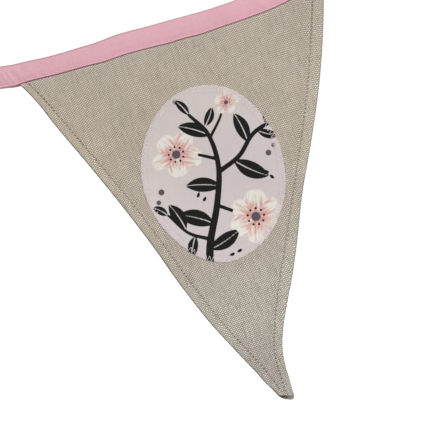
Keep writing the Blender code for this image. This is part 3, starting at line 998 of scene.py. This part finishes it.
def newMaterial(name, roughness, sheen):
    material = bpy.data.materials.new(name)
    material.use_nodes = True
    shader = material.node_tree.nodes["Principled BSDF"]
    shader.inputs["Roughness"].default_value = roughness
    shader.inputs["Specular IOR Level"].default_value = 0.18
    shader.inputs["Sheen Weight"].default_value = sheen
    shader.inputs["Sheen Roughness"].default_value = 0.5
    return material, material.node_tree, shader


def finishLook(shader, color, height, distance, strength=0.8):
    # the colour, and a bump whose height of 1 stands for a distance in metres
    tree = color.tree
    bump = put(tree, "ShaderNodeBump", {"Height": height, "Distance": distance, "Strength": strength})
    tree.links.new(color.socket, shader.inputs["Base Color"])
    tree.links.new(bump.outputs[0], shader.inputs["Normal"])


def rampsOf(look, **places):
    # the look's named ramps, each from 0 to 1 between two places in mm; a second pair takes it back
    made = {}
    for name, (place, *ends) in look["ramps"].items():
        made[name] = ramp(places[place], *ends[:2])
        if len(ends) > 2:
            made[name] = made[name] * ramp(places[place], *ends[2:])
    return made


linenLook = {
    "weave": {"Warp Pitch": 0.90, "Weft Pitch": 0.75, "Wander": 1.6, "Slub Length": 11.0},
    # warp and weft: the weft's darkness is partly the yarn's tone and partly painted shade
    "warp": (0.755, 0.684, 0.590),
    "weft": (0.252, 0.214, 0.164),
    "green": (0.470, 0.440, 0.350),
    "rose": (0.520, 0.430, 0.390),
    # painted shade: the dark of the weave's gaps, the folded sides and the needle holes
    "hole": (0.045, 0.035, 0.025),
    "furrowShade": (0.240, 0.180, 0.115),
    "even": (0.430, 0.378, 0.307),
    "brownish": (1.010, 0.990, 0.978),
    "greenish": (0.985, 0.991, 0.975),
    "warm": (1.015, 1.0, 0.955),
    # painted light on the lower part
    "lowerLight": (1.063, 1.120, 1.168),
    # painted shade at the top right
    "corner": (0.955, 0.955, 0.955),
    # painted shade above the tip
    "tip": (0.862, 0.845, 0.862),
    "hem": (1.095, 1.095, 1.095),
    "slot": (0.040, 0.018, 0.010),
    # painted light below the binding and a painted shadow line under its edge
    "underTapeLight": (1.13, 1.10, 1.14),
    "tapeShadowLine": (0.170, 0.080, 0.085),
    "brightest": 1.07,
    "holeSize": 0.54,
    # down the cloth and across it, out from the stitches, in from the side, below the binding
    "ramps": {
        "low": ("depth", 130, 180),
        "warm": ("depth", 5, 25, 90, 60),
        "warmSide": ("across", 50, 15),
        "lowerLight": ("depth", 110, 185),
        "corner": ("depth", 45, 10),
        "cornerSide": ("across", 45, 80),
        "tip": ("depth", 186, 208),
        "tipEnd": ("depth", 214, 232),
        "onLeft": ("across", 5, -5),
        "onHem": ("away", 0.8, -1.2),
        "hemTop": ("depth", 62, 40),
        "hemUpper": ("depth", 150, 60),
        "hemLower": ("depth", 135, 165),
        "nearTip": ("depth", 194, 208),
        "fold": ("edge", 1.0, 0.5),
        "underTapeLight": ("below", 2.8, 1.0),
        "tapeShadowLine": ("below", 0.75, 0.35),
        "drawnTop": ("depth", 36, 14),
        "leftTop": ("depth", 80, 45),
        "holesTop": ("depth", 12, 40),
    },
}


def makeLinenLook(weaveNodes, holeNodes):
    look = linenLook
    material, tree, shader = newMaterial("natural linen", 0.92, 0.12)
    flat, seam = clothUv(tree), attribute(tree, "seam")
    across, depth, _ = parts(flat)
    _, away, edge = parts(seam)
    slot, below, _ = parts(attribute(tree, "shade"))
    at = rampsOf(look, depth=depth, across=across, away=away, edge=edge, below=below)
    onLeft, nearTip = at["onLeft"], at["nearTip"]

    # the weave, thread by thread: weft threads darker than warp threads, partly the yarns' tone and partly
    # painted shade of the crossings, painted shade in the gaps between threads, and patches where it looks
    # more even
    weave = use(tree, weaveNodes, {"Vector": flat, **look["weave"]})
    color = mix(weave["Over"], look["weft"], look["warp"])
    color = mix(0.13, color, mix(ramp(weave["Tint"], 0.3, 0.7), look["rose"], look["green"]))
    light = (weave["Tone"] - 0.5) * (at["low"] * 0.45 + 0.80) + 1.0
    color = lit(color, calc("MINIMUM", light, look["brightest"]))
    # painted shade in the gaps between the threads
    color = mix(weave["Gap"], color, look["hole"])
    patches = noise(flat, 0.11, 3.0, 0.65)
    calm = ramp(patches["Fac"], 0.42, 0.66) * (at["low"] * -0.35 + 0.55)
    color = mix(calm, color, look["even"])
    spot = ramp(parts(patches["Color"])[1], 0.36, 0.64)
    color = tint(1.0, color, mix(spot, look["brownish"], look["greenish"]))
    color = lit(color, noise(flat, 0.03, 4.0, 0.6)["Fac"] * 0.11 + 0.953)

    # regions of the pennant: a warmer upper left, painted light that makes the lower part brighter and
    # cooler, painted shade at the top right and above the tip, its raised hems made lighter, and a painted
    # shade line along its folded sides
    color = tint(at["warm"] * at["warmSide"], color, look["warm"])
    # painted light: the lower part of the pennant brighter and cooler
    color = tint(at["lowerLight"], color, look["lowerLight"])
    # painted shade at the top right corner
    color = tint(at["corner"] * at["cornerSide"], color, look["corner"])
    # painted shade above the tip, half as strong at its very end
    color = tint(at["tip"] * (at["tipEnd"] * -0.5 + 1.0), color, look["tip"])
    lifted = at["onHem"] * (at["hemUpper"] + at["hemLower"] * (onLeft * -0.35 + 0.80))
    lifted = lifted * (at["hemTop"] * (onLeft * 0.55 - 0.55) + 1.0)
    color = tint(lifted, color, look["hem"])
    # painted shade along the folded sides, where they turn away from the light, stronger on the left and
    # weaker on the right near the tip
    fold = at["fold"] * (onLeft * (nearTip * 0.35 + 0.30) + (nearTip * -0.30 + 0.45))
    color = mix(fold, color, look["hole"])

    # by the binding: painted light just below it and a painted shadow line under its edge; the painted
    # shadow in the open tip; and painted shade round the needle holes
    color = tint(at["underTapeLight"], color, look["underTapeLight"])
    color = mix(at["tapeShadowLine"] * 0.4, color, look["tapeShadowLine"])
    color = mix(slot * 0.9, color, look["slot"])
    holes = use(tree, holeNodes, {"Seam": seam, "Pitch": thread["pitch"] / mm, "Size": look["holeSize"]})
    # painted shade along the stitch line, where the thread draws the cloth into a furrow
    leftTop = onLeft * at["leftTop"]
    furrowShade = calc("MAXIMUM", at["drawnTop"] * 0.62 + 0.14, leftTop * 0.28)
    color = mix(holes["Pull"] * furrowShade, color, look["furrowShade"])
    # painted shade in the needle holes, stronger on the left and near the tip
    deep = ramp(noise(flat, 0.09)["Fac"], 0.35, 0.6) * 0.45 + 0.40
    deep = deep * (onLeft * 0.3 + 0.7) * (at["holesTop"] * 0.3 + 0.7)
    deep = calc("MAXIMUM", calc("MAXIMUM", deep, nearTip * 0.75), leftTop * 0.6)
    color = mix(holes["Hole"] * deep, color, look["hole"])
    fuzz = noise(flat, 4.0, 2.0, 0.6)["Fac"]
    finishLook(shader, color, fuzz * 0.25 + weave["Height"] - holes["Hole"] * 1.5, 0.20 * mm)
    return material


tapeLook = {
    "weave": {"Warp Pitch": 0.42, "Weft Pitch": 0.38, "Wander": 0.8, "Slub Length": 9.0},
    "warp": (0.763, 0.434, 0.496),
    "weft": (0.700, 0.390, 0.450),
    "gap": (0.42, 0.20, 0.25),
    "lip": (0.86, 0.58, 0.64),
    "band": (0.965, 0.925, 0.940),
    # painted shade for the binding's edges
    "edgeShade": (0.30, 0.10, 0.14),
    "hole": (0.36, 0.15, 0.20),
    "holeSize": 0.24,
    # up from the stitches, in from the leaf's edges, along the binding from its left end
    "ramps": {
        "lip": ("away", -0.1, -0.5, -4.0, -3.0),
        "band": ("away", 0.1, 0.7, 3.2, 1.8),
        "topPart": ("away", 6.0, 8.0),
        "topEdge": ("edge", 1.6, 0.3),
        "topRight": ("run", 100, 190),
        "footPart": ("away", 0.0, -1.0),
        "footEdge": ("edge", 0.7, 0.3),
        "footRight": ("run", 95, 130),
        "footLeft": ("run", 57, 63),
    },
}


def makeTapeLook(weaveNodes, holeNodes):
    look = tapeLook
    material, tree, shader = newMaterial("pink cotton", 0.86, 0.15)
    flat, seam = clothUv(tree), attribute(tree, "seam")
    _, away, edge = parts(seam)
    at = rampsOf(look, away=away, edge=edge, run=parts(flat)[0])
    weave = use(tree, weaveNodes, {"Vector": flat, **look["weave"]})
    color = lit(mix(weave["Over"], look["weft"], look["warp"]), weave["Tone"] * 0.22 + 0.89)
    # painted shade in the gaps between the threads
    color = mix(weave["Gap"] * 0.35, color, look["gap"])
    color = mix(at["lip"] * 0.06, color, look["lip"])
    color = tint(at["band"], color, look["band"])
    # painted shade along the binding's top fold and its lower edge
    top = at["topPart"] * at["topEdge"] * (at["topRight"] * -0.3 + 0.75)
    foot = at["footPart"] * at["footEdge"] * (at["footRight"] * -0.26 + 0.86) * (at["footLeft"] * 0.6 + 0.4)
    color = mix(top + foot, color, look["edgeShade"])
    holes = use(tree, holeNodes, {"Seam": seam, "Pitch": thread["pitch"] / mm, "Size": look["holeSize"]})
    # painted shade in the needle holes
    color = mix(holes["Hole"] * 0.3, color, look["hole"])
    color = lit(color, noise(flat, 0.06, 4.0, 0.65)["Fac"] * 0.12 + 0.94)
    crease = noise(flat, 0.35, 3.0, 0.6)["Fac"]
    finishLook(shader, color, crease * 2.2 + weave["Height"] - holes["Hole"], 0.07 * mm)
    return material


printLook = {
    "weave": {"Warp Pitch": 0.40, "Weft Pitch": 0.37, "Wander": 0.8, "Slub Length": 8.0},
    "ground": (0.596, 0.532, 0.532),
    "warm": (0.616, 0.556, 0.534),
    "border": (0.680, 0.600, 0.600),
    # painted shadow line inside the border
    "line": (0.40, 0.32, 0.33),
    "black": (0.0085, 0.008, 0.008),
    "pale": (0.735, 0.715, 0.655),
    "coral": (0.600, 0.280, 0.245),
    "violet": (0.095, 0.078, 0.098),
    # in from the cut edge, out along a petal, up the oval and down it to the left, into each shape
    "ramps": {
        "border": ("edge", 4.0, 3.3),
        "line": ("edge", 3.2, 3.75, 4.5, 3.95),
        "heart": ("far", 0.95, 0.15),
        "foot": ("slant", 5.0, -38.0),
        "headShade": ("up", 22.0, 42.0),
        "petal": ("petalAway", 0.25, -0.35),
        "rim": ("rimAway", 0.9, 0.1),
        "violet": ("violetAway", 0.2, -0.2),
        "black": ("blackAway", 0.12, -0.12),
    },
}


def makePrintLook(weaveNodes):
    look = printLook
    material, tree, shader = newMaterial("printed cotton", 0.84, 0.05)
    flat = clothUv(tree)
    x, y, _ = parts(flat)
    side, far, _ = parts(attribute(tree, "bloom"))
    bleed = noise(flat, 1.6, 3.0, 0.6)["Fac"] * 0.5 - 0.25
    petalAway = attribute(tree, "petalAway", "Fac") + bleed
    at = rampsOf(
        look, edge=attribute(tree, "edgeIn", "Fac"), far=far, slant=x * 0.5 + y, up=y,
        petalAway=petalAway, rimAway=calc("ABSOLUTE", petalAway),
        violetAway=attribute(tree, "violetAway", "Fac") + bleed,
        blackAway=bleed * 0.5 + attribute(tree, "blackAway", "Fac"),
    )
    weave = use(tree, weaveNodes, {"Vector": flat, **look["weave"]})
    wash = noise(flat, 0.03)["Fac"] * 50.0 - 25.0
    color = mix(ramp(wash + (y - x), -12.0, 42.0), look["ground"], look["warm"])
    streak = noise(vector(side * 2.6, far * 1.3), 1.6, 4.0, 0.55, "2D")["Fac"]
    coral = calc("MAXIMUM", ramp(at["heart"] * 0.34 + streak, 0.50, 0.98), at["rim"] * 0.22)
    color = mix(at["petal"], color, mix(coral, look["pale"], look["coral"]))
    color = mix(at["violet"], color, look["violet"])
    color = mix(at["border"] * 0.34, color, look["border"])
    # painted shadow line just inside the sewn border, where the zigzag presses the cloth in
    color = mix(at["line"] * 0.15, color, look["line"])
    color = mix(at["black"], color, look["black"])
    # thread tone, with painted shade in the gaps between the threads
    light = weave["Tone"] * 0.16 + 0.92 - weave["Gap"] * 0.14
    light = light * (noise(flat, 0.07, 4.0, 0.6)["Fac"] * 0.08 + 0.96)
    # painted light on the lower left of the oval and painted shade on its upper part
    light = light * (at["foot"] * 0.08 + 1.0) * (at["headShade"] * -0.03 + 1.0)
    ripple = noise(flat, 0.25, 3.0, 0.55)["Fac"]
    finishLook(shader, lit(color, light), ripple * 1.6 + weave["Height"], 0.06 * mm)
    return material


threadLook = {
    "plyTurn": 0.9,
    "linen thread": ((0.62, 0.545, 0.450), (0.40, 0.345, 0.280)),
    "pink thread": ((0.75, 0.425, 0.485), (0.60, 0.33, 0.385)),
    "pale pink thread": ((0.80, 0.70, 0.70), (0.62, 0.53, 0.54)),
}


def makeThreadLook(name):
    # Three plies: a stripe that winds round the thread once every 0.9 mm, its dark side painted shade in
    # the grooves between the plies
    bright, dark = threadLook[name]
    material, tree, shader = newMaterial(name, 0.6, 0.1)
    c, s, length = parts(attribute(tree, "lay"))
    wind = length * (2.0 * math.pi / threadLook["plyTurn"])
    ply = s * calc("COSINE", wind) + c * calc("SINE", wind)
    spots = noise(vector(c, s, length * 2.0), 1.5, 2.0, 0.6)["Fac"]
    color = mix(ramp(ply, -0.9, 0.4) * (spots * 0.6 + 0.55), dark, bright)
    finishLook(shader, color, ply, 0.05 * mm, 0.7)
    return material


def makeObject():
    weaveNodes, holeNodes = weaveGroup(), holeGroup()
    print("bunting: weave and needle-hole groups made")
    pennant = makeLinen(makeLinenLook(weaveNodes, holeNodes))
    print("bunting: linen pennant made")
    tape = makeBinding(makeTapeLook(weaveNodes, holeNodes))
    print("bunting: binding made")
    oval = makePatch(makePrintLook(weaveNodes))
    print("bunting: oval patch made")
    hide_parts("linen_pennant")
    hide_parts("cotton_binding")
    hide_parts("oval_patch")
    linenThread, pinkThread, paleThread = (
        makeThreadLook(name) for name in ("linen thread", "pink thread", "pale pink thread")
    )
    hemSewing, tapeSewing, ovalSewing = [], [], []
    for back, where in ((False, "Front"), (True, "Back")):
        for side in ("left", "right"):
            lines = hemStitches(side, back)
            hemSewing.append(makeThreads(f"{side}HemStitches{where}", *lines, linenThread))
        tapeSewing.append(makeThreads(f"bindingStitches{where}", *bindingStitches(back), pinkThread))
        ovalSewing.append(makeThreads(f"ovalZigzag{where}", *zigzag(back), paleThread))
    print("bunting: sewing made")
    for slot, pieces in (
        ("natural_linen", [pennant, *hemSewing]), ("pink_cotton", [tape, *tapeSewing]),
        ("printed_cotton", [oval, *ovalSewing]),
    ):
        for piece in pieces:
            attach(piece, "root")


stageLook = {
    "cameraAt": (0.03004, -0.6316, -0.1211),
    "lens": 85.0,
    "sensor": 36.0,
    "lampsFace": (0.0, 0.0, -0.08),
    "lamps": {  # place, size, power
        "key": ((0.75, -1.20, 0.85), 0.9, 18.1),
        "fill": ((-0.9, -1.4, 0.1), 1.2, 3.0),
        "rear": ((0.3, 1.6, 0.4), 1.2, 19.0),
    },
    "ambient": 0.592,
    "behindGlow": (0.42, 0.42, 0.44),
    "frontGlow": (1.0, 1.0, 1.0),
    "floorAt": -1.2,
    "floorHalf": 14.0,
    "floorGlow": 0.95,
    "floorPale": ((0.80, 0.80, 0.79), (0.84, 0.84, 0.83)),
}


def makeStage():
    look = stageLook
    scene = bpy.context.scene
    view = bpy.data.cameras.new("camera")
    view.lens, view.sensor_width = look["lens"], look["sensor"]
    view.clip_start, view.clip_end = 0.01, 20.0
    camera = bpy.data.objects.new("camera", view)
    camera.location = look["cameraAt"]
    camera.rotation_euler = (math.radians(90.0), 0.0, 0.0)
    scene.collection.objects.link(camera)
    scene.camera = camera

    for name, (place, size, power) in look["lamps"].items():
        lamp = bpy.data.lights.new(name, "AREA")
        lamp.energy, lamp.size = power, size
        thing = bpy.data.objects.new(name, lamp)
        x, y, z = np.array(place) - np.array(look["lampsFace"])
        thing.location = place
        thing.rotation_euler = (math.atan2(math.hypot(x, y), z), 0.0, math.atan2(x, -y))
        scene.collection.objects.link(thing)

    # soft light from the front; the camera itself sees plain white
    world = bpy.data.worlds.new("studio")
    world.use_nodes = True
    scene.world = world
    tree = world.node_tree
    tree.nodes.clear()
    _, deep, up = parts(read(tree, "ShaderNodeTexCoord", "Generated"))
    glow = mix(ramp(up * 0.3 - deep, -0.4, 0.9), look["behindGlow"], look["frontGlow"])
    soft = read(tree, "ShaderNodeBackground", 0, inputs={"Color": glow, "Strength": look["ambient"]})
    white = read(tree, "ShaderNodeBackground", 0, inputs={"Color": (1.0, 1.0, 1.0), "Strength": 1.0})
    seen = read(tree, "ShaderNodeLightPath", "Is Camera Ray")
    both = read(tree, "ShaderNodeMixShader", 0, inputs=(seen, soft, white))
    put(tree, "ShaderNodeOutputWorld", (both,))
    scene.view_settings.view_transform = "Standard"

    half, low = look["floorHalf"], look["floorAt"]
    material, tree, shader = newMaterial("pale floor", 0.9, 0.0)
    grain = noise(read(tree, "ShaderNodeTexCoord", "Object"), 6.0, 3.0)["Fac"]
    seen = read(tree, "ShaderNodeLightPath", "Is Camera Ray")
    tree.links.new(mix(grain, *look["floorPale"]).socket, shader.inputs["Base Color"])
    tree.links.new((seen * look["floorGlow"]).socket, shader.inputs["Emission Strength"])
    corners = np.array([(-half, -half, low), (half, -half, low), (half, half, low), (-half, half, low)])
    newMesh("floor", corners, [(0, 1, 2, 3)], material)
    print("bunting: stage, lights and camera made")


makeStage()
makeObject()
print("bunting: finished")
